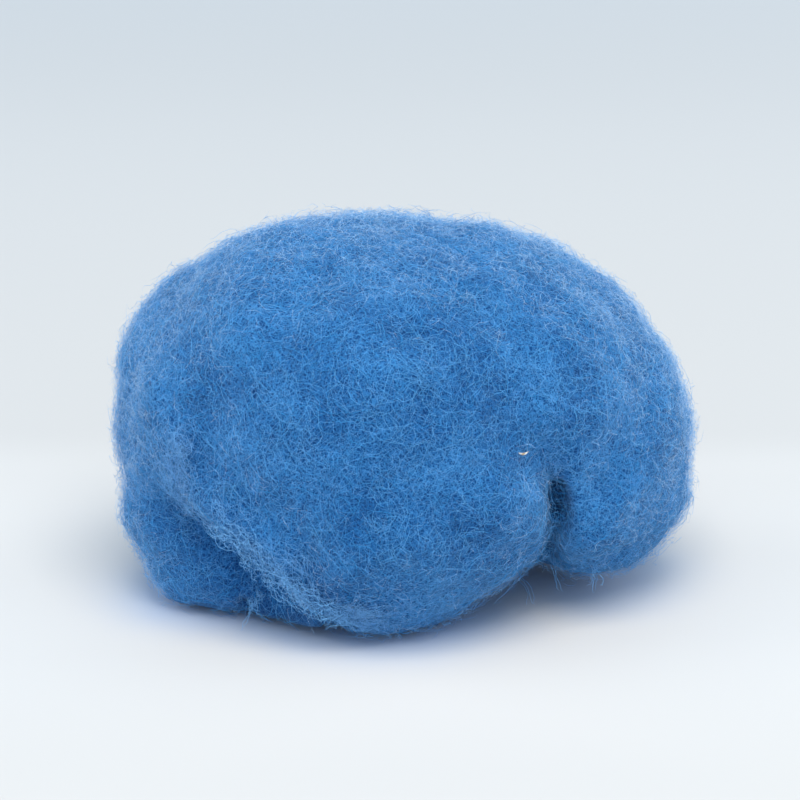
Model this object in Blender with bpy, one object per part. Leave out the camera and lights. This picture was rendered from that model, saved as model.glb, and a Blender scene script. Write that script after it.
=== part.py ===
"""A wad of carded wool: one soft, uneven ball, tucked together by hand from a carded batt.

Metres, +Z up. The wad lies on z = 0 with the middle of its box over the origin, and its
front, with the rolled lip and the notch, faces -Y. It is fused from puffs of wool, drawn in
along its creases, roughened by tufts and set down on a small flat spot.
"""

import math

import bmesh
import bpy
from mathutils import Matrix, Vector, noise

MM = 0.001

# Driving sizes of the whole wad
WAD_WIDTH = 110.5 * MM
WAD_DEPTH = 88.0 * MM
WAD_HEIGHT = 71.0 * MM

# How finely the puffs are fused, and how many triangles the finished skin keeps
FUSE_VOXEL = 1.5 * MM
FUSE_EASE_PASSES = 12
SKIN_VOXEL = 1.2 * MM
SKIN_EASE_PASSES = 2
EASE_FACTOR = 0.5
SKIN_TRIANGLES = 11000

PUFF_SUBDIVISIONS = 4
LIP_STEPS = 40

# The puffs that the wad is made of: middle and half sizes in millimetres. Roll turns a puff
# about the Y axis, and a positive roll lowers its right side.
PUFF_COLUMNS = ("name", "x", "y", "z", "half_x", "half_y", "half_z", "roll_deg")
PUFFS = (
    ("crown", -4.0, 2.0, 36.0, 45.0, 41.0, 34.0, 0.0),
    ("crown_left", -19.5, 0.0, 44.5, 27.0, 31.0, 25.0, -2.0),
    ("crown_right", 13.0, 2.0, 43.0, 21.0, 29.0, 26.5, 4.0),
    ("left_shoulder", -27.5, 5.0, 37.5, 27.5, 34.0, 25.5, 3.0),
    ("left_flank", -33.5, 3.0, 29.0, 22.0, 26.0, 22.0, 0.0),
    ("left_foot", -31.5, -2.0, 16.0, 22.5, 20.5, 16.5, 4.0),
    ("left_toe", -32.5, -9.0, 8.5, 16.0, 13.5, 10.5, 0.0),
    ("right_shoulder", 20.0, 4.0, 38.0, 30.5, 35.0, 27.5, 12.0),
    ("right_end", 35.3, 4.5, 27.2, 21.0, 28.5, 26.2, 0.0),
    ("right_foot", 37.0, 2.5, 15.5, 19.0, 22.5, 13.5, -8.0),
    ("right_lobe", 36.5, -4.5, 21.0, 12.0, 22.0, 16.0, 0.0),
    ("belly", -3.0, -15.0, 23.0, 26.5, 26.0, 26.0, 0.0),
    ("belly_right", 13.0, -14.0, 26.0, 17.0, 23.5, 21.5, 0.0),
    ("back", 1.0, 19.0, 29.0, 37.0, 26.0, 29.0, 0.0),
    ("back_foot", 6.0, 12.0, 12.0, 30.0, 22.0, 14.0, 0.0),
)

# The rolled edge of the outer layer. It comes over the left shoulder, down the front and
# under the belly: points along its middle and its half thickness, in millimetres.
LIP_COLUMNS = ("x", "y", "z", "half")
LIP = (
    (-33.0, -8.0, 52.0, 8.0),
    (-38.5, -9.0, 40.0, 7.5),
    (-40.0, -12.0, 31.5, 7.0),
    (-36.5, -18.5, 27.5, 6.5),
    (-30.0, -25.0, 24.0, 6.5),
    (-23.0, -28.5, 19.0, 6.5),
    (-16.0, -30.0, 13.0, 6.0),
    (-8.0, -29.5, 8.5, 6.0),
)

# The creases, a row for each point along one: where it runs, how far it is drawn in and how
# wide it is, in millimetres.
CREASE_COLUMNS = ("name", "x", "y", "z", "deep", "wide")
CREASES = (
    ("notch", 28.2, -28.0, 34.0, 0.5, 2.0),
    ("notch", 28.2, -27.0, 30.0, 5.0, 1.6),
    ("notch", 28.2, -25.0, 24.0, 8.0, 1.6),
    ("notch", 28.0, -22.0, 18.0, 7.5, 1.6),
    ("notch", 27.5, -18.0, 12.0, 5.0, 2.2),
    ("notch", 26.5, -12.0, 5.0, 5.0, 4.5),
    ("notch_valley", 29.0, -30.0, 34.0, 1.5, 6.0),
    ("notch_valley", 28.0, -27.0, 46.0, 0.8, 9.0),
    ("under_lip", -47.0, -13.0, 21.0, 0.5, 4.0),
    ("under_lip", -39.0, -21.0, 19.0, 3.2, 4.0),
    ("under_lip", -30.0, -24.5, 15.5, 4.4, 4.0),
    ("under_lip", -22.0, -27.0, 8.5, 3.5, 4.0),
    ("under_lip", -17.0, -29.0, 3.5, 2.0, 4.0),
    ("flank_valley", -50.0, -10.0, 30.0, 1.2, 6.0),
    ("flank_valley", -45.0, -8.0, 46.0, 1.6, 6.0),
    ("flank_valley", -35.0, -6.0, 60.0, 0.8, 7.0),
    ("right_fold", 33.0, -20.0, 9.0, 1.0, 3.0),
    ("right_fold", 44.0, -16.0, 10.0, 1.8, 3.0),
    ("right_fold", 53.0, -6.0, 14.0, 0.8, 4.0),
    ("back_fold", -34.0, 30.0, 46.0, 1.0, 6.0),
    ("back_fold", -6.0, 44.0, 36.0, 2.2, 5.0),
    ("back_fold", 26.0, 38.0, 16.0, 2.6, 6.0),
)

# The notch is a slit, drawn straight in from the front. The other creases follow the skin.
DRAWN_STRAIGHT = {"notch": (0.0, 1.0, 0.0)}
FACING_SHARE = 0.35

# Tufts: the size of the lumps and how far they stand out, in millimetres, and where in the
# noise they are read.
TUFT_COLUMNS = ("size", "height", "shift")
TUFTS = (
    (24.0, 1.1, 3.1),
    (10.0, 0.7, 7.7),
)

# Below this height the wool spreads on the floor, and below the second it lies flat on it
FLOOR_EASE = 2.0 * MM
FLAT_BELOW = 0.05 * MM

WOOL_BLUE = (0.055, 0.215, 0.56, 1.0)
WOOL_ROUGHNESS = 0.95


def rows(columns, table):
    """The table's rows as dictionaries with its columns' names."""
    return [dict(zip(columns, row)) for row in table]


def place_of(row):
    """A row's x, y and z, in metres."""
    return Vector((row["x"], row["y"], row["z"])) * MM


def clear_scene():
    for obj in list(bpy.data.objects):
        bpy.data.objects.remove(obj, do_unlink=True)


def add_puff(bm, middle, half, roll_deg=0.0):
    """One ellipsoid of wool in bm."""
    place = (
        Matrix.Translation(middle)
        @ Matrix.Rotation(math.radians(roll_deg), 4, "Y")
        @ Matrix.Diagonal((*half, 1.0))
    )
    bmesh.ops.create_icosphere(bm, subdivisions=PUFF_SUBDIVISIONS, radius=1.0, matrix=place)


def on_curve(points, share):
    """A point of the smooth curve through these points, with share from 0 to 1."""
    along = share * (len(points) - 1)
    first = min(int(along), len(points) - 2)
    part = along - first
    before, here, there, after = (
        points[min(max(first + step, 0), len(points) - 1)] for step in (-1, 0, 1, 2)
    )
    return 0.5 * (
        2 * here
        + (there - before) * part
        + (2 * before - 5 * here + 4 * there - after) * part**2
        + (3 * here - before - 3 * there + after) * part**3
    )


def loose_puffs():
    """All the puffs and the rolled lip in one mesh, still passing through each other."""
    bm = bmesh.new()
    for row in rows(PUFF_COLUMNS, PUFFS):
        half = Vector((row["half_x"], row["half_y"], row["half_z"])) * MM
        add_puff(bm, place_of(row), half, row["roll_deg"])
    lip = rows(LIP_COLUMNS, LIP)
    middles = [place_of(row) for row in lip]
    halves = [Vector((row["half"],) * 3) * MM for row in lip]
    for step in range(LIP_STEPS + 1):
        share = step / LIP_STEPS
        add_puff(bm, on_curve(middles, share), on_curve(halves, share))
    mesh = bpy.data.meshes.new("loose_puffs")
    bm.to_mesh(mesh)
    bm.free()
    return mesh


def with_modifiers_applied(obj):
    """The object's mesh as its modifiers leave it, with the modifiers taken off."""
    graph = bpy.context.evaluated_depsgraph_get()
    mesh = bpy.data.meshes.new_from_object(obj.evaluated_get(graph))
    obj.modifiers.clear()
    return mesh


def fused(obj, voxel, ease_passes):
    """The object's mesh made one skin at this voxel size, and smoothed."""
    fuse = obj.modifiers.new("fuse", "REMESH")
    fuse.mode = "VOXEL"
    fuse.voxel_size = voxel
    ease = obj.modifiers.new("ease", "SMOOTH")
    ease.factor = EASE_FACTOR
    ease.iterations = ease_passes
    return with_modifiers_applied(obj)


def thinned(obj, triangles):
    """The object's mesh brought down to about this many triangles, most of them at folds."""
    split = obj.modifiers.new("split", "TRIANGULATE")
    split.quad_method = "SHORTEST_DIAGONAL"
    triangles_now = sum(len(polygon.vertices) - 2 for polygon in obj.data.polygons)
    thin = obj.modifiers.new("thin", "DECIMATE")
    thin.ratio = min(1.0, triangles / triangles_now)
    return with_modifiers_applied(obj)


def move_points(mesh, move):
    """Moves each point of the mesh by move(place, normal)."""
    moves = [move(vertex.co, vertex.normal) for vertex in mesh.vertices]
    for vertex, step in zip(mesh.vertices, moves):
        vertex.co += step
    mesh.update()


def without(vector, direction):
    """The vector less its part along this direction, or as it is where there is none."""
    return vector - direction * vector.dot(direction) if direction else vector


def crease_pull(place, start, end, straight):
    """How far a place is drawn in by the stretch of a crease between two of its rows."""
    offset = without(place - place_of(start), straight)
    run = without(place_of(end) - place_of(start), straight)
    share = min(max(offset.dot(run) / run.length_squared, 0.0), 1.0)
    away = (offset - run * share).length
    deep = start["deep"] + (end["deep"] - start["deep"]) * share
    wide = start["wide"] + (end["wide"] - start["wide"]) * share
    return deep * MM * math.exp(-((away / (wide * MM)) ** 2))


def crease_move(place, normal, stretches, straight):
    """How a place moves for one crease, by the strongest pull of its stretches."""
    pull = max(crease_pull(place, start, end, straight) for start, end in stretches)
    if straight is None:
        return normal * -pull
    facing = min(max(-normal.dot(straight) / FACING_SHARE, 0.0), 1.0)
    return straight * pull * facing


def draw_in_creases(mesh):
    """Draws the skin in along each crease."""
    table = rows(CREASE_COLUMNS, CREASES)
    for name in dict.fromkeys(row["name"] for row in table):
        points = [row for row in table if row["name"] == name]
        stretches = list(zip(points, points[1:]))
        straight = Vector(DRAWN_STRAIGHT[name]) if name in DRAWN_STRAIGHT else None
        move_points(
            mesh, lambda place, normal: crease_move(place, normal, stretches, straight)
        )


def raise_tufts(mesh):
    """Makes the skin uneven, with lumps of each tuft size."""
    for row in rows(TUFT_COLUMNS, TUFTS):
        size = row["size"] * MM
        shift = Vector((row["shift"],) * 3)
        height = row["height"] * MM
        move_points(
            mesh, lambda place, normal: normal * height * noise.noise(place / size + shift)
        )


def settled(height):
    """The height of a point once the wad is set down."""
    if height >= FLOOR_EASE:
        return height
    if height <= -FLOOR_EASE:
        return 0.0
    return (height + FLOOR_EASE) ** 2 / (4 * FLOOR_EASE)


def set_down(mesh):
    for vertex in mesh.vertices:
        vertex.co.z = settled(vertex.co.z)
    mesh.update()


def bring_to_size(mesh):
    """Stretches the wad slightly to its driving sizes and stands it over the origin."""
    places = [vertex.co for vertex in mesh.vertices]
    lowest = Vector([min(place[axis] for place in places) for axis in range(3)])
    highest = Vector([max(place[axis] for place in places) for axis in range(3)])
    middle = (lowest + highest) / 2
    size = highest - lowest
    for vertex in mesh.vertices:
        vertex.co.x = (vertex.co.x - middle.x) * WAD_WIDTH / size.x
        vertex.co.y = (vertex.co.y - middle.y) * WAD_DEPTH / size.y
        vertex.co.z = (vertex.co.z - lowest.z) * WAD_HEIGHT / size.z
        if vertex.co.z < FLAT_BELOW:
            vertex.co.z = 0.0
    mesh.update()


def wool_material():
    material = bpy.data.materials.new("blue_carded_wool")
    material.use_nodes = True
    shader = material.node_tree.nodes["Principled BSDF"]
    shader.inputs["Base Color"].default_value = WOOL_BLUE
    shader.inputs["Roughness"].default_value = WOOL_ROUGHNESS
    shader.inputs["Metallic"].default_value = 0.0
    return material


def wool_wad():
    """The whole wad as one closed solid."""
    wad = bpy.data.objects.new("wool_wad", loose_puffs())
    bpy.context.scene.collection.objects.link(wad)
    wad.data = fused(wad, FUSE_VOXEL, FUSE_EASE_PASSES)
    draw_in_creases(wad.data)
    raise_tufts(wad.data)
    set_down(wad.data)
    wad.data = fused(wad, SKIN_VOXEL, SKIN_EASE_PASSES)
    wad.data = thinned(wad, SKIN_TRIANGLES)
    bring_to_size(wad.data)
    wad.data.materials.append(wool_material())
    wad.data.shade_smooth()
    return wad


def main():
    clear_scene()
    wool_wad()


main()
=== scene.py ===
import math
import random

import bmesh
import bpy
import numpy as np
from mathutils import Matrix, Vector, noise
from mathutils.bvhtree import BVHTree


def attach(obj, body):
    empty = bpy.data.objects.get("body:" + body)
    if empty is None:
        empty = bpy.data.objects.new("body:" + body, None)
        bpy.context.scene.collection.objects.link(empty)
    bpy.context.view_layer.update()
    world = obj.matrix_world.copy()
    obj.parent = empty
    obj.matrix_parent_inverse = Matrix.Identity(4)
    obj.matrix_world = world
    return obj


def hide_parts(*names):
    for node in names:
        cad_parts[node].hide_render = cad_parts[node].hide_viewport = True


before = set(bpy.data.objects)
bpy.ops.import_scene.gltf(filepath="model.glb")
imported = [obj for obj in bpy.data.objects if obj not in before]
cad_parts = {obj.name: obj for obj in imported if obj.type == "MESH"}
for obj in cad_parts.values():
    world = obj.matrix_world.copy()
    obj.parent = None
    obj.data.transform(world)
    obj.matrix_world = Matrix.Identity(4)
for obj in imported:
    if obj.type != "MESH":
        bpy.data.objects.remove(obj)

# A wad of blue carded wool on a pale sheet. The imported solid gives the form. On it lie some
# five thousand crimped fibres in two tones, laid by Geometry Nodes, under a fuzz of nearly
# thirty thousand finer ones. Sizes are in metres unless a note says mm.

mm = 0.001

# noise_vector reads offsets that follow the clock unless this is set
noiseSeed = 1
noise.seed_set(noiseSeed)

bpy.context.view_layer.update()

# The camera, taken as 800 x 800: it looks along +Y, a little down on the wad
camera = {
    "lookAt": (-0.9 * mm, 0.0, 35.9 * mm),
    "distance": 600 * mm,
    "elevationDeg": 18.0,
    "sensorMm": 36.0,
    "frameAcross": 150.7 * mm,  # how much of the wad's plane the picture shows
}

# Light as in a small white tent: a large soft lamp above, one at each side and a weak one in front
studio = {
    "skyColour": (0.50, 0.75, 1.0),
    "skyStrength": 0.80,
    "lamps": (
        # name, place, size across, watts, colour
        ("topLamp", (0.10, -0.48, 1.12), 0.85, 12.9, (1.0, 0.92, 0.78)),
        ("leftLamp", (-1.00, 0.12, 0.40), 0.8, 5.4, (1.0, 0.94, 0.84)),
        ("rightLamp", (1.00, 0.30, 0.40), 0.8, 5.3, (1.0, 0.94, 0.84)),
        ("frontLamp", (0.15, -1.15, 0.36), 0.9, 2.7, (0.78, 0.92, 1.0)),
    ),
    "floorSize": 6.0,
    # painted light and shade: the sheet's grey from near to far, lighter and darker where the light falls
    # more or less on it and on the backdrop behind; y in mm, grey. For a plain sheet, two rows of one grey
    "floorPaintedLightShade": (
        (-100, 0.600), (-30, 0.665), (30, 0.640), (62, 0.615), (90, 0.575), (400, 0.605),
        (1000, 0.760),
    ),
    "floorTint": (1.015, 0.976, 0.962),
    "floorCell": 2 * mm,
    "floorReach": 160 * mm,  # how far from the middle the sheet has small cells
    # painted shadow on the sheet beside the wool, darker and bluer near it, as light through it might colour
    # paper. None: 1, 1, 1
    "woolShadowTint": (0.74, 0.87, 1.09),
    "woolShadowReach": 8.5 * mm,
    "lampsLookAt": (0, 0, 30 * mm),
}

# The skin under the fibres: the solid's shape, smaller and lumpy, but pushed out in one place
skin = {
    "voxel": 0.88 * mm,
    "easePasses": 3,
    "inset": 1.4 * mm,
    "insetFrom": 11 * mm,  # nearer the table it is less
    "insetLeast": 0.25,
    "floorGap": 0.25 * mm,
    # size of lumps, height, where in the noise
    "lumps": ((11 * mm, 0.9 * mm, 5.0), (5 * mm, 0.5 * mm, 11.0), (2.2 * mm, 0.2 * mm, 17.0)),
    # small dents and folds: path in mm, reach, depth
    "dents": (
        (((-29.4, -22.4, 4.2), (-28.9, -22.4, 3.6)), 1.5 * mm, 3.2 * mm),
        (((35.7, -24.9, 13.2), (42.0, -20.5, 12.4), (47.5, -14.6, 13.2)), 1.1 * mm, 0.8 * mm),
    ),
    # places pushed out past the solid: path in mm, reach, push in mm
    "pushes": (
        (
            ((-24.5, -22.8, 5.5), (-20.4, -24.8, 5.3), (-18.0, -29.0, 5.5)),
            4.0 * mm,
            (0.3, -4.2, -3.8),
        ),
    ),
    "fill": 0.45,
    "underside": 0.4,  # share of fibres that stay on faces that look down
    "bareInShade": 0.75,  # share left out where it is shaded most
    "bareBelow": 0.8 * mm,
    "fullAbove": 1.5 * mm,  # more than that
    # size and place in the noise of the wide and the small patches of fibres
    "patches": ((12 * mm, 29.0), (5 * mm, 43.0)),
}
weightNames = ("everywhere", "patchy", "cover", "fuzz", "rim", "lip")

# The notch: a dark slit seen from the front, its run in x and z in mm
notch = {
    # x and z in mm, reach, how much deeper
    "runs": (
        (((27.6, 27.0), (27.7, 21.6)), 2.0 * mm, 6.0 * mm),
        (((27.8, 21.6), (27.4, 16.0), (26.8, 11.0)), 1.3 * mm, 3.5 * mm),
    ),
    "facing": 0.35,  # how far a face must turn to the front to be cut in full
    "front": (-8 * mm, 4 * mm),  # it ends at this y, over this length
    "bare": 0.92,  # share of fibres left out of it
    # times its reach: how wide it is bare, has less fuzz and has less inset
    "bareWidth": 1.1,
    "fuzzWidth": 2.3,
    "insetWidth": 3,
    "insetLess": 0.8,
    # painted shade: how dark the skin of each run of the slit is painted
    "shade": (0.80, 0.50),
    "netCount": 40,
    "netThickness": 0.075 * mm,
    "netColour": (0.030, 0.260, 0.640),
    # heights, left and right ends and depths in mm, and how much the ends rise or fall
    "netHeights": (13.5, 30.0),
    "netLeft": (25.4, 26.6),
    "netRight": (29.8, 31.2),
    "netSlants": (2.0, 2.5),
    "netDepths": (-0.8, 1.6),
    "netCurl": 0.9 * mm,
    "netSag": 0.6 * mm,
    "netPoints": 10,
    "seed": 5,
}

# The edge of the outer layer, over the left shoulder and down the front, in mm
lip = {
    "edge": (
        (-44.6, -21.7, 27.8), (-41.0, -24.0, 26.0), (-34.4, -32.0, 24.0), (-29.0, -35.5, 21.5),
        (-26.5, -35.5, 17.6), (-21.7, -37.5, 14.4), (-17.0, -38.0, 10.2), (-12.0, -38.0, 8.6),
        (-5.2, -36.3, 6.6),
    ),
    "reach": 2.8 * mm,
    # the pale streak of wisps where the edge begins
    "streak": ((-41.3, -27.2, 36.5), (-41.6, -26.8, 33.0), (-42.4, -25.6, 30.0)),
    "streakReach": 1.8 * mm,
    # the loose net that hangs off the edge
    "netCount": 190,
    "netFrom": 0.22,  # share of the edge where it begins
    "netTo": 0.95,
    "netLengths": (0.05, 0.13),  # shares of the edge
    # how far off the edge, down and to the front, in mm
    "netDrops": (-2.0, 2.8),
    "netForward": (-0.2, 1.2),
    "netSag": 0.3 * mm,
    "netPoints": 16,
    "netDown": (-0.6, 0.0, -0.8),
    "netThickness": 0.082 * mm,
    "netCurl": 0.90 * mm,
    "netColour": (0.190, 0.470, 0.820),
    "seed": 3,
}

# Places that hardly any light reaches, painted close to navy: path in mm, reach, strength
shades = (
    (((-43, -20, 23.5), (-36, -28, 19.5), (-31, -32, 17), (-28, -30, 12)), 2.0 * mm, 0.45),
    (((-28, -30, 12), (-23.5, -33, 9.5), (-20, -29, 4), (-16, -34, 5)), 2.8 * mm, 0.75),
    (((-29, -35.5, 20), (-26.5, -35.5, 16.5), (-21.7, -37.5, 13), (-14.4, -37.7, 8)), 1.9 * mm, 0.60),
    (((-29.4, -22.4, 4.4), (-28.9, -22.4, 3.4)), 1.7 * mm, 0.95),
    (((-26.5, -25.0, 3.0), (-24, -27, 2.2), (-20, -29.5, 2.0), (-15.5, -33, 2.0)), 2.6 * mm, 0.85),
)

# How thick the growth is by how the wool faces the main camera: 1 at it, 0 edge on, -1 away.
# It is laid once in the meshes, so it stays where it is in other views.
facingShares = {
    "main": ((-1, -0.2, 0.2, 1), (0.75, 0.8, 1.15, 1.25)),
    "fuzz": ((-0.6, -0.1, 0.35, 0.9), (0.7, 1.3, 1.3, 0.45)),
    # rim: where the pale fuzz of painted rim light grows, thickest near edge-on
    "rim": ((-0.7, -0.15, 0.3, 0.68, 0.85), (0.3, 1.1, 1.5, 0.45, 0)),
}

# How a laid fibre bends: waves along it and where in the noise they are read
fibreBends = {
    "wander": (2.4, 5.0),
    "crimp": (7.5, 71.0),
    "weave": (3.4, 133.0),
    "noiseGain": 4.0,
    "lengths": (0.6, 1.3),
    "farApart": 937.0,  # how far apart in the noise two fibres are read
    "standAlong": 1.6,
    "standSpread": 1.5,
    "curlShare": 0.6,
}

# Fibres are tubes of few sides, thinner at their ends
tube = {
    "sides": 3,
    "endShare": 0.25,
    "taperPower": 0.6,
}

# Fibres that cover the wad, one piece for each tone, then the fuzz that stands off it and
# the pale wisps along the lip
fibreShared = {
    "Length": 6.2 * mm,
    "Points": 11,
    "Wander": 1.7 * mm,
    "Crimp": 0.36 * mm,
    "Arch": 0.3 * mm,
    "Stand": 0.0,
    "Where": "everywhere",
}
fibrePieces = {
    "fibresUpper": {
        "colour": (0.040, 0.285, 0.645),
        "count": 2650,
        "settings": {
            "Lift": 0.12 * mm, "Weave": 0.30 * mm, "Thickness": 0.100 * mm, "Seed": 25,
            "Stand": 0.5 * mm,
        },
    },
    "fibresPale": {
        "colour": (0.112, 0.395, 0.755),
        "count": 2650,
        "settings": {
            "Lift": 0.22 * mm, "Weave": 0.34 * mm, "Thickness": 0.080 * mm, "Seed": 36,
            "Stand": 1.2 * mm, "Where": "patchy", "Arch": 0.6 * mm,
        },
    },
    "fuzzLong": {
        "colour": (0.118, 0.385, 0.770),
        "count": 3300,
        "settings": {
            "Lift": 0.10 * mm, "Weave": 0.30 * mm, "Thickness": 0.052 * mm, "Seed": 47,
            "Stand": 3.0 * mm, "Where": "cover", "Arch": 1.4 * mm, "Wander": 1.8 * mm,
            "Length": 5.2 * mm, "Points": 9,
        },
    },
    "fuzzShort": {
        "colour": (0.190, 0.455, 0.820),
        "count": 12500,
        "settings": {
            "Lift": 0.15 * mm, "Weave": 0.2 * mm, "Thickness": 0.044 * mm, "Seed": 58,
            "Stand": 2.2 * mm, "Where": "fuzz", "Arch": 0.9 * mm, "Wander": 0.9 * mm,
            "Crimp": 0.24 * mm, "Length": 2.6 * mm, "Points": 3,
        },
    },
    # pale fuzz set thickest where the wool turns edge-on to the main camera; its pale tone is partly painted
    # light, the glow where light comes through the outline
    "fuzzRim": {
        "colour": (0.460, 0.650, 0.880),
        "count": 12500,
        "settings": {
            "Lift": 0.30 * mm, "Weave": 0.3 * mm, "Thickness": 0.052 * mm, "Seed": 80,
            "Stand": 1.7 * mm, "Where": "rim", "Arch": 1.3 * mm, "Wander": 0.9 * mm,
            "Crimp": 0.24 * mm, "Length": 2.4 * mm, "Points": 3,
        },
    },
    "lipWisps": {
        "colour": (0.180, 0.450, 0.820),
        "count": 310,
        "settings": {
            "Lift": 0.35 * mm, "Weave": 0.45 * mm, "Thickness": 0.062 * mm, "Seed": 69,
            "Stand": 2.4 * mm, "Where": "lip", "Arch": 1.4 * mm, "Crimp": 0.52 * mm,
            "Wander": 2.2 * mm,
        },
    },
}

# Single fibres that hang out of the wad: where each starts, x and z in mm from the front,
# where it ends, in mm, and how many lie there
strays = {
    "rows": (
        ((-27.2, 5.4), (-30.3, -27.4, 0.2), 1),
        ((-28.0, 5.2), (-29.8, -27.8, 0.5), 1),
        ((-28.0, 5.6), (-27.6, -27.9, 4.4), 12),
        ((-27.2, 6.6), (-26.4, -27.4, 6.4), 10),
        ((35.0, 10.5), (35.6, -22.8, 6.6), 3),
        ((36.5, 10.0), (33.8, -22.0, 5.8), 2),
        ((27.2, 10.5), (28.6, -17.5, 4.6), 3),
        ((20.0, 6.5), (23.4, -21.0, 3.6), 3),
        ((40.9, 36.4), (43.5, -26.0, 34.6), 1),
    ),
    "scatter": 0.9 * mm,
    "startSpread": (0.6, 0.4),  # across and up, in mm
    "startDeep": 0.8 * mm,
    "sag": 0.3 * mm,
    "points": 14,
    "curl": 0.55 * mm,
    "thickness": 0.105 * mm,
    "colour": (0.180, 0.450, 0.780),
    "seed": 8,
}

# A pale sliver of chaff caught in the wool
chaff = {
    "at": (20.45, 36.5),  # x and z in mm, from the front
    "length": 2.7 * mm,
    "width": 0.46 * mm,
    "thickness": 0.16 * mm,
    "bend": 0.42 * mm,
    "turnDeg": -8.0,
    "above": 1.1 * mm,
    "tipPower": 0.6,
    "tipLeast": 0.06,
    "steps": 14,
    "sides": 8,
}


def linkObject(name, data):
    made = bpy.data.objects.new(name, data)
    bpy.context.scene.collection.objects.link(made)
    return made


def evaluatedMesh(piece):
    graph = bpy.context.evaluated_depsgraph_get()
    mesh = bpy.data.meshes.new_from_object(piece.evaluated_get(graph))
    piece.modifiers.clear()
    return mesh


def triangleCount(mesh):
    return sum(len(polygon.vertices) - 2 for polygon in mesh.polygons)


# Nodes: one call adds a node, feeds its sockets by name or number and sets its options
def addNode(tree, kind, feeds=None, **options):
    made = tree.nodes.new(kind)
    for key, value in options.items():
        setattr(made, key, value)
    for key, value in (feeds or {}).items():
        if isinstance(key, int):
            socket = made.inputs[key]
        else:
            socket = next(s for s in made.inputs if s.name == key and s.enabled)
        if isinstance(value, bpy.types.NodeSocket):
            tree.links.new(value, socket)
        else:
            socket.default_value = value
    return made


def outOf(made, name=None):
    if name is None:
        return next(s for s in made.outputs if s.enabled)
    return next(s for s in made.outputs if s.name == name and s.enabled)


def calc(tree, operation, *terms):
    return outOf(addNode(tree, "ShaderNodeMath", dict(enumerate(terms)), operation=operation))


def vectorCalc(tree, operation, *terms):
    return outOf(addNode(tree, "ShaderNodeVectorMath", dict(enumerate(terms)), operation=operation))


def scaled(tree, vector, factor):
    feeds = {"Vector": vector, "Scale": factor}
    return outOf(addNode(tree, "ShaderNodeVectorMath", feeds, operation="SCALE"))


def randomBetween(tree, low, high, seed):
    feeds = {"Min": low, "Max": high, "Seed": seed}
    return outOf(addNode(tree, "FunctionNodeRandomValue", feeds, data_type="FLOAT"))


def thickened(tree, curves, thickness, along):
    # closed tubes round the curves
    arch = calc(tree, "SINE", calc(tree, "MULTIPLY", along, math.pi))
    fuller = calc(tree, "POWER", arch, tube["taperPower"])
    taper = calc(tree, "MULTIPLY", fuller, 1 - tube["endShare"])
    taper = calc(tree, "ADD", taper, tube["endShare"])
    halfWidth = calc(tree, "MULTIPLY", calc(tree, "MULTIPLY", thickness, 0.5), taper)
    feeds = {"Resolution": tube["sides"], "Radius": 1.0}
    ring = addNode(tree, "GeometryNodeCurvePrimitiveCircle", feeds, mode="RADIUS")
    tubes = addNode(
        tree,
        "GeometryNodeCurveToMesh",
        {"Curve": curves, "Profile Curve": outOf(ring), "Scale": halfWidth, "Fill Caps": True},
    )
    feeds = {"Geometry": outOf(tubes), "Shade Smooth": True}
    return outOf(addNode(tree, "GeometryNodeSetShadeSmooth", feeds))


def finishTree(tree, geometry, material):
    whole = addNode(tree, "GeometryNodeRealizeInstances", {"Geometry": geometry})
    dressed = addNode(tree, "GeometryNodeSetMaterial", {"Geometry": outOf(whole), "Material": material})
    tree.links.new(outOf(dressed), tree.nodes.new("NodeGroupOutput").inputs[0])


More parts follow.
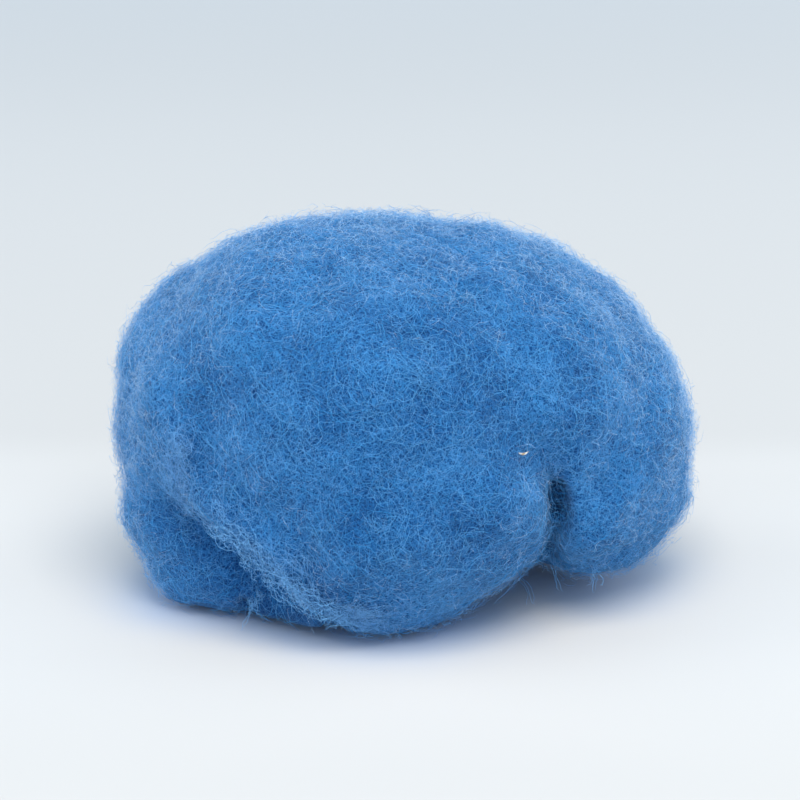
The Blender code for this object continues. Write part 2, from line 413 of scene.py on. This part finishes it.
# The tree that lays crimped fibres on a mesh
def fibreTree():
    tree = bpy.data.node_groups.new("layFibres", "GeometryNodeTree")
    face = tree.interface
    face.new_socket("Skin", in_out="INPUT", socket_type="NodeSocketGeometry")
    for label in ("Density", "Length", "Thickness", "Lift", "Weave", "Arch", "Stand", "Wander", "Crimp"):
        face.new_socket(label, in_out="INPUT", socket_type="NodeSocketFloat")
    face.new_socket("Points", in_out="INPUT", socket_type="NodeSocketInt")
    face.new_socket("Seed", in_out="INPUT", socket_type="NodeSocketInt")
    face.new_socket("Where", in_out="INPUT", socket_type="NodeSocketString")
    face.new_socket("Wool", in_out="INPUT", socket_type="NodeSocketMaterial")
    face.new_socket("Fibres", in_out="OUTPUT", socket_type="NodeSocketGeometry")
    given = tree.nodes.new("NodeGroupInput").outputs
    seed = given["Seed"]

    # roots, thicker or thinner on the ground as the named attribute says
    feeds = {"Name": given["Where"]}
    where = outOf(addNode(tree, "GeometryNodeInputNamedAttribute", feeds, data_type="FLOAT"))
    roots = addNode(
        tree,
        "GeometryNodeDistributePointsOnFaces",
        {"Mesh": given["Skin"], "Density": calc(tree, "MULTIPLY", given["Density"], where), "Seed": seed},
        distribute_method="RANDOM",
    )
    marked = addNode(
        tree,
        "GeometryNodeStoreNamedAttribute",
        {"Geometry": roots.outputs["Points"], "Name": "mark", "Value": randomBetween(tree, 0.0, 1.0, seed)},
        data_type="FLOAT",
        domain="POINT",
    )

    # a straight line for each, turned any way in the skin
    feeds = {"Start": (-0.5, 0, 0), "End": (0.5, 0, 0)}
    line = addNode(tree, "GeometryNodeCurvePrimitiveLine", feeds, mode="POINTS")
    feeds = {"Curve": outOf(line), "Count": given["Points"]}
    line = addNode(tree, "GeometryNodeResampleCurve", feeds, mode="COUNT")
    turn = randomBetween(tree, 0.0, 2 * math.pi, calc(tree, "ADD", seed, 1.0))
    spin = addNode(tree, "FunctionNodeAxisAngleToRotation", {"Axis": (0, 0, 1), "Angle": turn})
    facing = addNode(
        tree,
        "FunctionNodeRotateRotation",
        {"Rotation": roots.outputs["Rotation"], "Rotate By": outOf(spin)},
        rotation_space="LOCAL",
    )
    longer = randomBetween(tree, *fibreBends["lengths"], calc(tree, "ADD", seed, 2.0))
    stretch = calc(tree, "MULTIPLY", given["Length"], longer)
    size = addNode(tree, "ShaderNodeCombineXYZ", {0: stretch, 1: 1.0, 2: 1.0})
    placed = addNode(
        tree,
        "GeometryNodeInstanceOnPoints",
        {"Points": outOf(marked), "Instance": outOf(line), "Rotation": outOf(facing), "Scale": outOf(size)},
    )
    lines = addNode(tree, "GeometryNodeRealizeInstances", {"Geometry": outOf(placed)})

    # bends: a slow wander and a quick crimp, both read from noise along the fibre
    along = outOf(addNode(tree, "GeometryNodeSplineParameter"), "Factor")
    ownMark = outOf(addNode(tree, "GeometryNodeInputNamedAttribute", {"Name": "mark"}, data_type="FLOAT"))
    farMark = calc(tree, "MULTIPLY", ownMark, fibreBends["farApart"])

    def bends(perFibre, shift):
        feeds = {0: calc(tree, "MULTIPLY", along, perFibre), 1: farMark, 2: calc(tree, "ADD", farMark, shift)}
        spot = addNode(tree, "ShaderNodeCombineXYZ", feeds)
        field = addNode(tree, "ShaderNodeTexNoise", {"Vector": outOf(spot), "Scale": 1.0, "Detail": 0.0})
        return vectorCalc(tree, "SUBTRACT", outOf(field, "Color"), (0.5, 0.5, 0.5))

    def gained(height):
        return calc(tree, "MULTIPLY", height, fibreBends["noiseGain"])

    wander = scaled(tree, bends(*fibreBends["wander"]), gained(given["Wander"]))
    crimp = scaled(tree, bends(*fibreBends["crimp"]), gained(given["Crimp"]))
    place = outOf(addNode(tree, "GeometryNodeInputPosition"))
    bent = vectorCalc(tree, "ADD", place, vectorCalc(tree, "ADD", wander, crimp))

    # back onto the skin, at a height that changes along the fibre
    nearest = addNode(
        tree,
        "GeometryNodeProximity",
        {"Geometry": given["Skin"], "Sample Position": bent},
        target_element="FACES",
    )
    normal = outOf(addNode(tree, "GeometryNodeInputNormal"))
    upward = addNode(
        tree,
        "GeometryNodeSampleNearestSurface",
        {"Mesh": given["Skin"], "Value": normal, "Sample Position": bent},
        data_type="FLOAT_VECTOR",
    )
    markTwo = calc(tree, "FRACT", calc(tree, "MULTIPLY", ownMark, 17.0))
    markThree = calc(tree, "FRACT", calc(tree, "MULTIPLY", ownMark, 91.0))
    bow = calc(tree, "SINE", calc(tree, "MULTIPLY", along, math.pi))
    rise = calc(tree, "MULTIPLY", calc(tree, "MULTIPLY", given["Arch"], markTwo), bow)
    towardsEnd = calc(tree, "POWER", along, fibreBends["standAlong"])
    ownStand = calc(tree, "POWER", markThree, fibreBends["standSpread"])
    stand = calc(tree, "MULTIPLY", given["Stand"], calc(tree, "MULTIPLY", towardsEnd, ownStand))
    waves = addNode(tree, "ShaderNodeSeparateXYZ", {0: bends(*fibreBends["weave"])})
    weave = calc(tree, "MULTIPLY", gained(given["Weave"]), outOf(waves))
    crimpAcross = outOf(addNode(tree, "ShaderNodeSeparateXYZ", {0: crimp}))
    curl = calc(tree, "MULTIPLY", crimpAcross, fibreBends["curlShare"])
    height = given["Lift"]
    for part in (rise, stand, weave, curl):
        height = calc(tree, "ADD", height, part)
    raised = vectorCalc(tree, "ADD", nearest.outputs["Position"], scaled(tree, outOf(upward), height))

    # nothing goes through the table
    parts = addNode(tree, "ShaderNodeSeparateXYZ", {0: raised})
    onTable = calc(tree, "MAXIMUM", parts.outputs["Z"], given["Thickness"])
    feeds = {0: parts.outputs["X"], 1: parts.outputs["Y"], 2: onTable}
    settled = addNode(tree, "ShaderNodeCombineXYZ", feeds)
    laid = addNode(tree, "GeometryNodeSetPosition", {"Geometry": outOf(lines), "Position": outOf(settled)})
    finishTree(tree, thickened(tree, outOf(laid), given["Thickness"], along), given["Wool"])
    return tree


# The tree that makes closed tubes of a mesh's edges
def strandTree():
    tree = bpy.data.node_groups.new("thickenStrands", "GeometryNodeTree")
    face = tree.interface
    face.new_socket("Lines", in_out="INPUT", socket_type="NodeSocketGeometry")
    face.new_socket("Thickness", in_out="INPUT", socket_type="NodeSocketFloat")
    face.new_socket("Wool", in_out="INPUT", socket_type="NodeSocketMaterial")
    face.new_socket("Strands", in_out="OUTPUT", socket_type="NodeSocketGeometry")
    given = tree.nodes.new("NodeGroupInput").outputs
    curves = addNode(tree, "GeometryNodeMeshToCurve", {"Mesh": given["Lines"]})
    along = outOf(addNode(tree, "GeometryNodeSplineParameter"), "Factor")
    finishTree(tree, thickened(tree, outOf(curves), given["Thickness"], along), given["Wool"])
    return tree


def grow(name, mesh, tree, settings):
    piece = linkObject(name, mesh)
    modifier = piece.modifiers.new("grow", "NODES")
    modifier.node_group = tree
    for item in tree.interface.items_tree:
        if item.in_out == "INPUT" and item.name in settings:
            modifier[item.identifier] = settings[item.name]
    grown = evaluatedMesh(piece)
    piece.data = grown
    grown.name = name
    bpy.data.meshes.remove(mesh)
    for label in ("mark", *weightNames):
        if label in grown.attributes:
            grown.attributes.remove(grown.attributes[label])
    print("laid", name, "-", triangleCount(grown), "triangles")
    return piece


# The skin's own shape
def nearness(places, path, reach):
    # 1 on a path, given in mm, falling off to 0 past its reach
    best = np.full(len(places), 1e9)
    points = np.array(path, float) * mm
    for start, end in zip(points, points[1:]):
        run = end - start
        share = np.clip((places - start) @ run / (run @ run), 0, 1)
        best = np.minimum(best, np.linalg.norm(places - start - share[:, None] * run, axis=1))
    return np.exp(-((best / reach) ** 2))


def inNotch(places, run, reach):
    # 1 in a run of the notch as the front shows it, with steep sides
    end, length = notch["front"]
    front = np.clip((end - places[:, 1]) / length, 0, 1)
    near = nearness(places[:, [0, 2]], run, 1.0)
    return np.exp(-((-np.log(near)) / reach**2) ** 2) * front


def readVertices(mesh, name):
    values = np.zeros(len(mesh.vertices) * 3)
    mesh.vertices.foreach_get(name, values)
    return values.reshape(-1, 3)


def makeSkin():
    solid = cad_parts["wool_wad"]
    bm = bmesh.new()
    bm.from_mesh(solid.data)
    bmesh.ops.remove_doubles(bm, verts=bm.verts, dist=1e-6)
    mesh = bpy.data.meshes.new("woolSkin")
    bm.to_mesh(mesh)
    bm.free()
    piece = linkObject("woolSkin", mesh)
    for passes in (skin["easePasses"], 1):
        remesh = piece.modifiers.new("remesh", "REMESH")
        remesh.mode = "VOXEL"
        remesh.voxel_size = skin["voxel"]
        ease = piece.modifiers.new("ease", "SMOOTH")
        ease.factor = 0.5
        ease.iterations = passes
        piece.data = evaluatedMesh(piece)
        mesh = piece.data
        if passes == 1:
            break
        # the first round ends with the notch cut deeper and the hollow filled
        places = readVertices(mesh, "co")
        inward = np.clip(-readVertices(mesh, "normal")[:, 1] / notch["facing"], 0, 1)
        deeper = [depth * inNotch(places, run, reach) for run, reach, depth in notch["runs"]]
        places[:, 1] += np.maximum(*deeper) * inward
        for path, reach, push in skin["pushes"]:
            places += nearness(places, path, reach)[:, None] * np.array(push) * mm
        places[:, 2] = np.maximum(places[:, 2], skin["floorGap"])
        mesh.vertices.foreach_set("co", places.ravel())
        mesh.update()

    places = readVertices(mesh, "co")
    surface = places.copy()
    rise = -skin["inset"] * np.clip(surface[:, 2] / skin["insetFrom"], skin["insetLeast"], 1)
    for run, reach, _ in notch["runs"]:
        rise *= 1 - notch["insetLess"] * inNotch(surface, run, notch["insetWidth"] * reach)
    for size, height, shift in skin["lumps"]:
        offset = Vector((shift, shift, shift))
        rise += height * np.array([noise.noise(Vector(place) / size + offset) for place in places])
    for path, reach, depth in skin["dents"]:
        rise -= depth * nearness(places, path, reach)
    places += readVertices(mesh, "normal") * rise[:, None]
    places[:, 2] = np.maximum(places[:, 2], skin["floorGap"])
    mesh.vertices.foreach_set("co", places.ravel())
    mesh.update()
    mesh.shade_smooth()
    shade = np.zeros(len(places))
    for (run, reach, _), strength in zip(notch["runs"], notch["shade"]):
        shade = np.maximum(shade, strength * inNotch(surface, run, reach))
    for path, reach, strength in shades:
        shade = np.maximum(shade, strength * nearness(surface, path, reach))
    weights = weighSkin(surface, readVertices(mesh, "normal"), shade)
    for name, values in {**weights, "shade": shade}.items():
        attribute = mesh.attributes.new(name, "FLOAT", "POINT")
        attribute.data.foreach_set("value", values.astype(np.float32))
    print("skin made -", triangleCount(mesh), "triangles")
    return piece


# Where fibres grow: off the table, in patches, thin in the notch, and more at the lip
def weighSkin(places, normals, shade):
    offTable = np.clip((places[:, 2] - skin["bareBelow"]) / skin["fullAbove"], 0, 1)
    down = np.clip(-normals[:, 2] * 1.5 - 0.3, 0, 1)
    cover = offTable * (1 - (1 - skin["underside"]) * down)
    for run, reach, _ in notch["runs"]:
        cover *= 1 - notch["bare"] * inNotch(places, run, notch["bareWidth"] * reach)
    cover *= 1 - skin["bareInShade"] * shade
    wide, small = (
        np.array([noise.noise(Vector(place) / size + Vector((shift, shift, shift))) for place in places])
        for size, shift in skin["patches"]
    )
    tilt = math.radians(camera["elevationDeg"])
    facing = normals @ np.array((0, -math.cos(tilt), math.sin(tilt)))
    edgeOn = np.interp(facing, *facingShares["fuzz"])
    rim = np.interp(facing, *facingShares["rim"])
    rim *= np.clip(1 + 1.5 * np.minimum(normals[:, 2], 0), 0.2, 1)
    width = notch["fuzzWidth"]
    atNotch = sum(inNotch(places, run, width * reach) for run, reach, _ in notch["runs"]).clip(0, 1)
    atLip = nearness(places, lip["edge"], lip["reach"])
    atStreak = nearness(places, lip["streak"], lip["streakReach"])
    main = cover * np.interp(facing, *facingShares["main"])
    return {
        "everywhere": main * np.clip(1 + 0.7 * wide + 0.6 * small, 0.35, 1.8),
        "patchy": main * np.clip(0.9 - 1.6 * wide + 2.0 * small, 0.08, 2.6),
        "cover": cover,
        "fuzz": cover * edgeOn * (1 - 0.7 * atLip) * (1 - 0.7 * atNotch),
        "rim": cover * rim * (1 - 0.9 * atLip) * (1 - atNotch),
        "lip": cover * np.maximum(atLip * np.clip(0.6 + 4.0 * small, 0.03, 2.2), 2.0 * atStreak),
    }


def weightOver(mesh, name):
    # the weight attribute summed over the mesh's area
    values = np.zeros(len(mesh.vertices), np.float32)
    mesh.attributes[name].data.foreach_get("value", values)
    return sum(polygon.area * float(np.mean(values[list(polygon.vertices)])) for polygon in mesh.polygons)


# Single fibres drawn point by point
def onFront(x, z):
    hit = skinTree.ray_cast(Vector((x * mm, -1.0, z * mm)), Vector((0, 1, 0)))
    return hit[0], hit[1]


def crimpedLine(draw, start, end, points, curl, sag):
    # from start to end, off the straight by soft noise that fades at the start
    seed = Vector((draw.uniform(0, 900), draw.uniform(0, 900), draw.uniform(0, 900)))
    line = []
    for step in range(points):
        share = step / (points - 1)
        bend = noise.noise_vector(seed + Vector((share * 3.0, 0, 0))) * 2.0
        quick = noise.noise_vector(seed + Vector((share * 8.0, 7.0, 0))) * 0.8
        place = start.lerp(end, share) + (bend + quick) * curl * min(1.0, 4 * share)
        place += Vector((0, -1, 0)) * sag * math.sin(math.pi * share)
        place.z = max(place.z, 0.15 * mm)
        line.append(place)
    return line


def strandPiece(name, lines, thickness, material):
    mesh = bpy.data.meshes.new(name)
    places = [place for line in lines for place in line]
    edges = []
    first = 0
    for line in lines:
        edges += [(first + step, first + step + 1) for step in range(len(line) - 1)]
        first += len(line)
    mesh.from_pydata(places, edges, [])
    return grow(name, mesh, thickenStrands, {"Thickness": thickness, "Wool": material})


def makeNotchNet():
    draw = random.Random(notch["seed"])
    slantLeft, slantRight = notch["netSlants"]
    lines = []
    for _ in range(notch["netCount"]):
        z = draw.uniform(*notch["netHeights"])
        left = onFront(draw.uniform(*notch["netLeft"]), z + draw.uniform(-slantLeft, slantLeft))[0]
        right = onFront(draw.uniform(*notch["netRight"]), z + draw.uniform(-slantRight, slantRight))[0]
        depth = draw.uniform(*notch["netDepths"]) * mm
        left.y += depth
        right.y += depth
        sag = -notch["netSag"] * draw.random()
        lines.append(crimpedLine(draw, left, right, notch["netPoints"], notch["netCurl"], sag))
    wool = plainWool("notchNetWool", notch["netColour"])
    return strandPiece("notchNet", lines, notch["netThickness"], wool)


def makeLipNet():
    draw = random.Random(lip["seed"])
    edge = [Vector(point) * mm for point in lip["edge"]]

    def onEdge(share):
        place = min(share, 0.999) * (len(edge) - 1)
        return edge[int(place)].lerp(edge[int(place) + 1], place % 1)

    lines = []
    for _ in range(lip["netCount"]):
        share = draw.uniform(lip["netFrom"], lip["netTo"])
        aside = Vector(lip["netDown"]) * draw.uniform(*lip["netDrops"]) * mm
        aside.y -= draw.uniform(*lip["netForward"]) * mm
        start = onEdge(share) + aside
        end = onEdge(share + draw.uniform(*lip["netLengths"])) + aside
        lines.append(crimpedLine(draw, start, end, lip["netPoints"], lip["netCurl"], lip["netSag"]))
    wool = plainWool("lipNetWool", lip["netColour"])
    return strandPiece("lipNet", lines, lip["netThickness"], wool)


def makeStrays():
    draw = random.Random(strays["seed"])
    across, up = strays["startSpread"]
    lines = []
    for (x, z), end, count in strays["rows"]:
        for _ in range(count):
            start = onFront(x + draw.uniform(-across, across), z + draw.uniform(-up, up))[0]
            start.y += strays["startDeep"]
            spread = Vector([draw.uniform(-1, 1) for _ in range(3)]) * strays["scatter"]
            finish = Vector(end) * mm + (spread if count > 1 else Vector())
            line = crimpedLine(draw, start, finish, strays["points"], strays["curl"], strays["sag"])
            lines.append(line)
    wool = plainWool("strayWool", strays["colour"])
    return strandPiece("strayFibres", lines, strays["thickness"], wool)


def makeChaff():
    place, outward = onFront(*chaff["at"])
    across = Vector((1, 0, 0)) - outward * outward.x
    across.normalize()
    up = outward.cross(across).normalized()
    if up.z < 0:
        up = -up
    turn = math.radians(chaff["turnDeg"])
    along = across * math.cos(turn) + up * math.sin(turn)
    sideways = outward.cross(along).normalized()
    middle = place + outward * chaff["above"]
    bm = bmesh.new()
    rings = []
    for step in range(chaff["steps"] + 1):
        share = step / chaff["steps"]
        width = max(math.sin(math.pi * share) ** chaff["tipPower"], chaff["tipLeast"])
        centre = middle + along * chaff["length"] * (share - 0.5)
        centre += up * chaff["bend"] * (2 * share - 1) ** 2
        ring = []
        for corner in range(chaff["sides"]):
            angle = 2 * math.pi * corner / chaff["sides"]
            offset = sideways * math.cos(angle) * chaff["width"]
            offset += outward * math.sin(angle) * chaff["thickness"]
            ring.append(bm.verts.new(centre + offset * width / 2))
        rings.append(ring)
    for here, there in zip(rings, rings[1:]):
        for corner in range(chaff["sides"]):
            after = (corner + 1) % chaff["sides"]
            bm.faces.new((here[corner], here[after], there[after], there[corner]))
    bm.faces.new(rings[0])
    bm.faces.new(rings[-1])
    bmesh.ops.recalc_face_normals(bm, faces=bm.faces)
    mesh = bpy.data.meshes.new("chaffFleck")
    bm.to_mesh(mesh)
    bm.free()
    mesh.shade_smooth()
    mesh.materials.append(matChaff())
    print("laid chaffFleck -", triangleCount(mesh), "triangles")
    return linkObject("chaffFleck", mesh)


# Materials: the shader's own numbers, then its colours
fibreShader = {
    "Roughness": 0.6,
    "Specular IOR Level": 0.12,
    "Sheen Weight": 0.25,
    "Sheen Roughness": 0.45,
    "Sheen Tint": (0.50, 0.76, 1.0, 1.0),
}
skinShader = {
    "Roughness": 0.85,
    "Specular IOR Level": 0.15,
    "Sheen Weight": 0.4,
    "Sheen Roughness": 0.5,
    "Sheen Tint": (0.35, 0.68, 1.0, 1.0),
}
sheetShader = {"Roughness": 0.7, "Specular IOR Level": 0.1}
chaffShader = {"Roughness": 0.5}


def newMaterial(name, numbers):
    material = bpy.data.materials.new(name)
    material.use_nodes = True
    shader = material.node_tree.nodes["Principled BSDF"]
    for label, value in numbers.items():
        shader.inputs[label].default_value = value
    return material, material.node_tree, shader


def plainWool(name, colour):
    material, _, shader = newMaterial(name, fibreShader)
    shader.inputs["Base Color"].default_value = (*colour, 1.0)
    return material


matLook = {
    # the skin's tones: gap, body and bright are one blue dye in shade, half light and light. The dark gaps
    # are painted shade deep among the fibres; the light strands are the fibres' pattern, partly painted light
    # on the top ones. Shaded is the navy of painted shade
    "gap": (0.002, 0.033, 0.138),
    "body": (0.007, 0.102, 0.315),
    "bright": (0.058, 0.260, 0.575),
    "shaded": (0.002, 0.040, 0.155),
    # fibre layers: how fine, how wide a fibre is, how strong, where in the noise
    "layers": (
        (520, 0.026, 0.6, 1.0), (700, 0.034, 0.65, 9.0), (940, 0.046, 0.8, 23.0),
        (1250, 0.062, 1.0, 41.0), (1650, 0.075, 0.9, 57.0),
    ),
    "warpFineness": 260,
    "warpAmount": 0.0011,
    "bumpHeight": 0.16 * mm,
    "bumpStrength": 0.7,
    # clouds lift the tone: how fine, where the noise counts as none and as full
    "cloudFineness": 90,
    "cloudFrom": 0.33,
    "cloudTo": 0.67,
    # tone of a fibre and of the ground, as cloud share times the first plus the second
    "fibreTone": (0.26, 0.53),
    "groundTone": (0.17, 0.10),
    # where in the tones gap, body and bright stand
    "stops": (0.05, 0.45, 0.95),
}


def matWool():
    material, tree, shader = newMaterial("woolMat", skinShader)
    place = tree.nodes.new("ShaderNodeTexCoord").outputs["Object"]
    feeds = {"Vector": place, "Scale": matLook["warpFineness"], "Detail": 1.0}
    warp = addNode(tree, "ShaderNodeTexNoise", feeds)
    offset = vectorCalc(tree, "SUBTRACT", outOf(warp, "Color"), (0.5, 0.5, 0.5))
    warped = vectorCalc(tree, "ADD", place, scaled(tree, offset, matLook["warpAmount"]))
    # a fibre is a thin band where a noise passes through its middle value
    strands = None
    for fineness, width, strength, shift in matLook["layers"]:
        spot = vectorCalc(tree, "ADD", warped, (shift, shift * 0.7, shift * 1.3))
        feeds = {"Vector": spot, "Scale": fineness, "Detail": 1.0, "Roughness": 0.4}
        field = outOf(addNode(tree, "ShaderNodeTexNoise", feeds), "Fac")
        away = calc(tree, "ABSOLUTE", calc(tree, "SUBTRACT", field, 0.5))
        band = addNode(
            tree,
            "ShaderNodeMapRange",
            {"Value": away, "From Min": 0.0, "From Max": width, "To Min": strength, "To Max": 0.0},
            interpolation_type="SMOOTHSTEP",
        )
        strands = outOf(band) if strands is None else calc(tree, "MAXIMUM", strands, outOf(band))
    feeds = {"Vector": place, "Scale": matLook["cloudFineness"], "Detail": 3.0}
    clouds = outOf(addNode(tree, "ShaderNodeTexNoise", feeds), "Fac")
    feeds = {"Value": clouds, "From Min": matLook["cloudFrom"], "From Max": matLook["cloudTo"]}
    cloudy = outOf(addNode(tree, "ShaderNodeMapRange", feeds))
    # the strands' pattern, lighter over darker gaps: partly painted light and shade among the fibres
    lit = calc(tree, "MULTIPLY", strands, calc(tree, "MULTIPLY_ADD", cloudy, *matLook["fibreTone"]))
    tone = calc(tree, "ADD", lit, calc(tree, "MULTIPLY_ADD", cloudy, *matLook["groundTone"]))
    ramp = addNode(tree, "ShaderNodeValToRGB", {0: tone})
    gapAt, bodyAt, brightAt = matLook["stops"]
    ramp.color_ramp.elements[0].position = gapAt
    ramp.color_ramp.elements[0].color = (*matLook["gap"], 1)
    ramp.color_ramp.elements[1].position = brightAt
    ramp.color_ramp.elements[1].color = (*matLook["bright"], 1)
    ramp.color_ramp.elements.new(bodyAt).color = (*matLook["body"], 1)
    feeds = {"Height": strands, "Distance": matLook["bumpHeight"], "Strength": matLook["bumpStrength"]}
    bump = addNode(tree, "ShaderNodeBump", feeds)
    # painted shade: the skin turns to the shaded navy where the shade attribute is high
    shade = tree.nodes.new("ShaderNodeAttribute")
    shade.attribute_name = "shade"
    feeds = {"Factor": outOf(shade, "Fac"), "A": ramp.outputs["Color"], "B": (*matLook["shaded"], 1)}
    coloured = addNode(tree, "ShaderNodeMix", feeds, data_type="RGBA")
    tree.links.new(outOf(coloured), shader.inputs["Base Color"])
    tree.links.new(bump.outputs["Normal"], shader.inputs["Normal"])
    return material


def matChaff():
    material, tree, shader = newMaterial("chaffMat", chaffShader)
    place = tree.nodes.new("ShaderNodeTexCoord").outputs["Object"]
    grain = addNode(tree, "ShaderNodeTexNoise", {"Vector": place, "Scale": 1500, "Detail": 2.0})
    ramp = addNode(tree, "ShaderNodeValToRGB", {0: outOf(grain, "Fac")})
    ramp.color_ramp.elements[0].position = 0.38
    ramp.color_ramp.elements[0].color = (0.42, 0.30, 0.20, 1)
    ramp.color_ramp.elements[1].position = 0.55
    ramp.color_ramp.elements[1].color = (0.86, 0.82, 0.74, 1)
    tree.links.new(ramp.outputs["Color"], shader.inputs["Base Color"])
    return material


# Camera, lamps and table
def setCamera():
    data = bpy.data.cameras.new("camera")
    data.sensor_width = camera["sensorMm"]
    data.lens = camera["sensorMm"] * camera["distance"] / camera["frameAcross"]
    made = linkObject("camera", data)
    tilt = math.radians(camera["elevationDeg"])
    back = Vector((0, -math.cos(tilt), math.sin(tilt)))
    made.location = Vector(camera["lookAt"]) + back * camera["distance"]
    made.rotation_mode = "QUATERNION"
    made.rotation_quaternion = (-back).to_track_quat("-Z", "Y")
    bpy.context.scene.camera = made


def setLight():
    world = bpy.data.worlds.new("tent")
    world.use_nodes = True
    sky = world.node_tree.nodes["Background"]
    sky.inputs["Color"].default_value = (*studio["skyColour"], 1)
    sky.inputs["Strength"].default_value = studio["skyStrength"]
    bpy.context.scene.world = world
    for name, place, size, watts, colour in studio["lamps"]:
        data = bpy.data.lights.new(name, "AREA")
        data.size = size
        data.energy = watts
        data.color = colour
        lamp = linkObject(name, data)
        lamp.location = place
        lamp.rotation_mode = "QUATERNION"
        lamp.rotation_quaternion = (Vector(studio["lampsLookAt"]) - lamp.location).to_track_quat("-Z", "Y")


def setTable(woolTree):
    half, reach = studio["floorSize"] / 2, studio["floorReach"]
    steps = np.linspace(-reach, reach, 1 + round(2 * reach / studio["floorCell"]))
    steps = np.concatenate(((-half,), steps, (half,)))
    across = len(steps)
    corners = [(x, y, 0) for y in steps for x in steps]
    firsts = [row * across + col for row in range(across - 1) for col in range(across - 1)]
    mesh = bpy.data.meshes.new("table")
    mesh.from_pydata(corners, [], [(at, at + 1, at + across + 1, at + across) for at in firsts])
    # painted shadow: how near each corner of the sheet is to the wool, which sets how much of the shadow tint
    # it takes
    away = np.array([woolTree.find_nearest(corner)[3] for corner in corners])
    beside = mesh.attributes.new("beside", "FLOAT", "POINT")
    beside.data.foreach_set("value", np.exp(-(away / studio["woolShadowReach"]) ** 2))
    table = linkObject("table", mesh)
    material, tree, shader = newMaterial("paperSheet", sheetShader)
    place = tree.nodes.new("ShaderNodeTexCoord").outputs["Object"]
    # painted light and shade on the sheet: its grey follows y as the table of greys says
    depth = addNode(tree, "ShaderNodeSeparateXYZ", {0: place}).outputs["Y"]
    nearest, furthest = studio["floorPaintedLightShade"][0][0], studio["floorPaintedLightShade"][-1][0]
    feeds = {"Value": depth, "From Min": nearest * mm, "From Max": furthest * mm}
    ramp = addNode(tree, "ShaderNodeValToRGB", {0: outOf(addNode(tree, "ShaderNodeMapRange", feeds))})
    ramp.color_ramp.interpolation = "EASE"
    stops = ramp.color_ramp.elements
    for y, _ in studio["floorPaintedLightShade"][1:-1]:
        stops.new((y - nearest) / (furthest - nearest))
    for stop, (_, grey) in zip(stops, studio["floorPaintedLightShade"]):
        stop.color = (*(grey * part for part in studio["floorTint"]), 1)
    # painted shadow: the sheet's grey is multiplied by the bluish tint near the wool
    nearWool = addNode(tree, "ShaderNodeAttribute", attribute_name="beside").outputs["Fac"]
    feeds = {"Factor": nearWool, "A": ramp.outputs["Color"], "B": (*studio["woolShadowTint"], 1)}
    tinted = addNode(tree, "ShaderNodeMix", feeds, data_type="RGBA", blend_type="MULTIPLY")
    tree.links.new(outOf(tinted), shader.inputs["Base Color"])
    mesh.materials.append(material)


setCamera()
setLight()
bpy.context.scene.view_settings.view_transform = "Standard"
print("camera and lamps set")

woolSkin = makeSkin()
skinMesh = woolSkin.data
corners = [list(polygon.vertices) for polygon in skinMesh.polygons]
skinTree = BVHTree.FromPolygons([vertex.co.copy() for vertex in skinMesh.vertices], corners)
setTable(skinTree)
print("table set")
layFibres = fibreTree()
thickenStrands = strandTree()
madePieces = []
for name, kind in fibrePieces.items():
    settings = {**fibreShared, **kind["settings"]}
    settings["Density"] = kind["count"] / weightOver(skinMesh, settings["Where"])
    settings["Wool"] = plainWool(name + "Wool", kind["colour"])
    madePieces.append(grow(name, skinMesh.copy(), layFibres, settings))
madePieces += [makeNotchNet(), makeLipNet(), makeStrays(), makeChaff()]

skinMesh.materials.clear()
skinMesh.materials.append(matWool())
for weight in weightNames:
    skinMesh.attributes.remove(skinMesh.attributes[weight])
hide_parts("wool_wad")
madePieces.append(woolSkin)
for piece in madePieces:
    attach(piece, "root")
inAll = sum(triangleCount(piece.data) for piece in madePieces)
print("pieces:", len(madePieces), "- triangles in all:", inAll)
